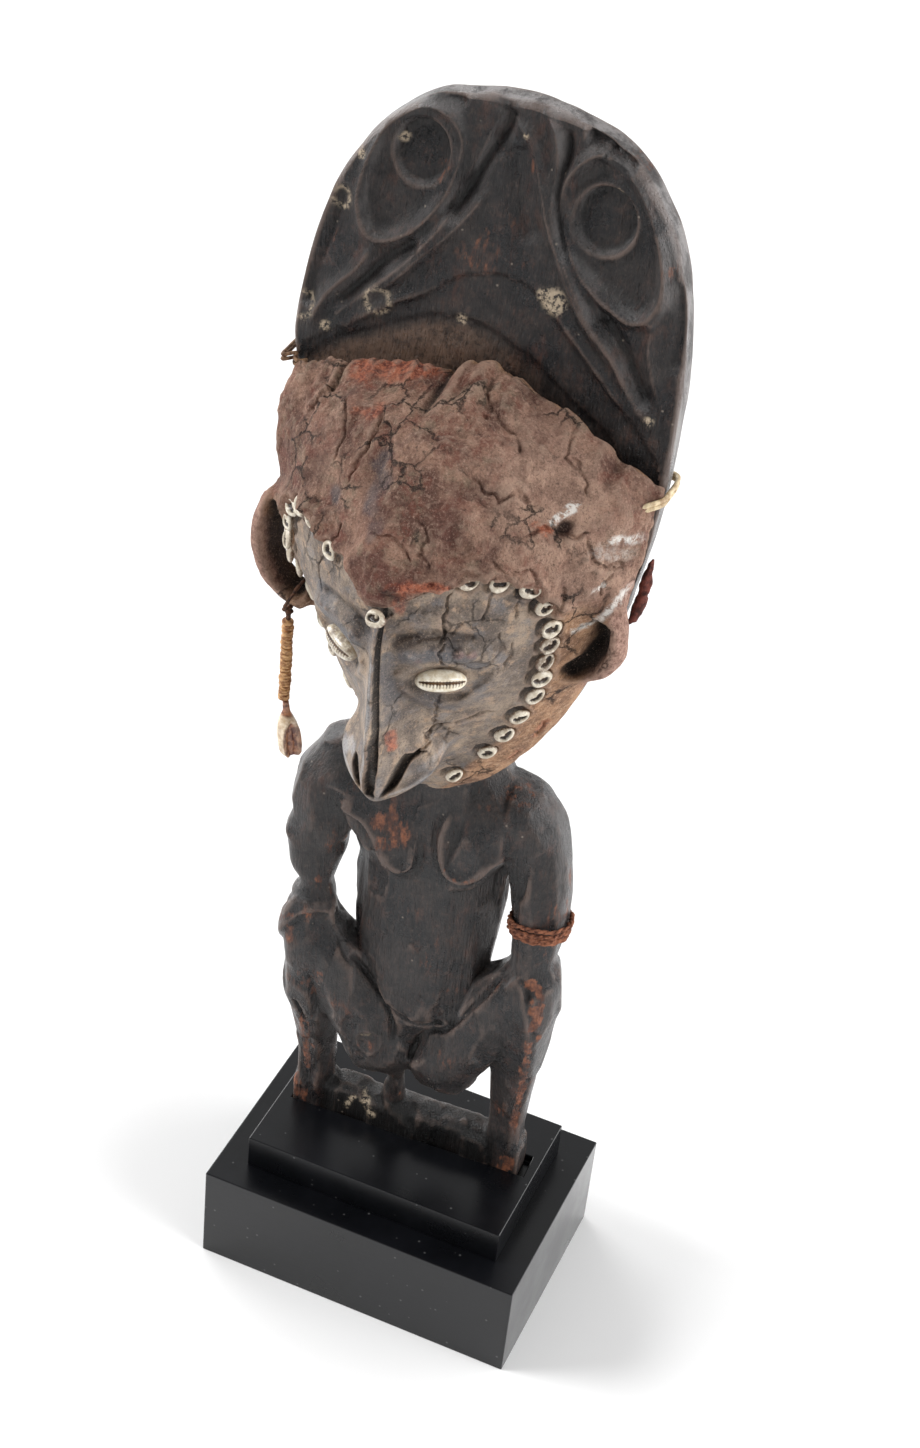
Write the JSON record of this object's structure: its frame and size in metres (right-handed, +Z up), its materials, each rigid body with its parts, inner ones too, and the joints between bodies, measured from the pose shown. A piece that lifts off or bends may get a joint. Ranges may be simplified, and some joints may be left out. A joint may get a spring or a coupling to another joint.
{
  "type": "carved squatting figure on a plinth",
  "caption": "Carved wooden squatting figure with a tall crest board and a head modelled in paste and set with shells, standing on a stepped display plinth.",
  "frame": {"origin": "centre of the plinth's underside", "axes": "+Z up the figure; the face looks along -Y; +X to the right of a viewer in front of it"},
  "size_m": [0.1562, 0.1424, 0.5625],
  "materials": {
    "black_paint": "satin black paint over wood",
    "patina_wood": "dark handled patina, worn to red-brown at the edges",
    "paste": "matte dried earth and resin paste, cracked",
    "cowrie": "glossy ivory shell",
    "sea_shell": "worn shell",
    "disc_shell": "ground shell discs, stained tan",
    "fibre": "twisted plant fibre",
    "cane": "split cane",
    "red_bark": "torn bark strip"
  },
  "bodies": {
    "root": {"plinth_base": "black_paint", "plinth_step": "black_paint", "carved_figure": "patina_wood", "modelled_head": "paste", "eye_cowrie_left": "cowrie", "eye_cowrie_right": "cowrie", "shell_left_01": "sea_shell", "shell_left_02": "sea_shell", "shell_left_03": "sea_shell", "shell_left_04": "sea_shell", "shell_left_05": "sea_shell", "shell_left_06": "sea_shell", "shell_left_07": "sea_shell", "shell_left_08": "sea_shell", "shell_left_09": "sea_shell", "shell_left_10": "sea_shell", "shell_left_11": "sea_shell", "shell_left_12": "sea_shell", "shell_left_13": "sea_shell", "shell_right_01": "sea_shell", "shell_right_02": "sea_shell", "shell_right_03": "sea_shell", "shell_right_04": "sea_shell", "shell_right_05": "sea_shell", "shell_right_06": "sea_shell", "shell_right_07": "sea_shell", "shell_right_08": "sea_shell", "shell_right_09": "sea_shell", "shell_right_10": "sea_shell", "shell_right_11": "sea_shell", "shell_right_12": "sea_shell", "shell_right_13": "sea_shell", "shell_bridge": "sea_shell", "earring_thread": "fibre", "earring_discs": "disc_shell", "earring_pendant": "cowrie", "armband": "fibre", "cane_tie_left": "cane", "cane_tie_right": "cane", "bark_strip": "red_bark"}
  },
  "joints": []
}
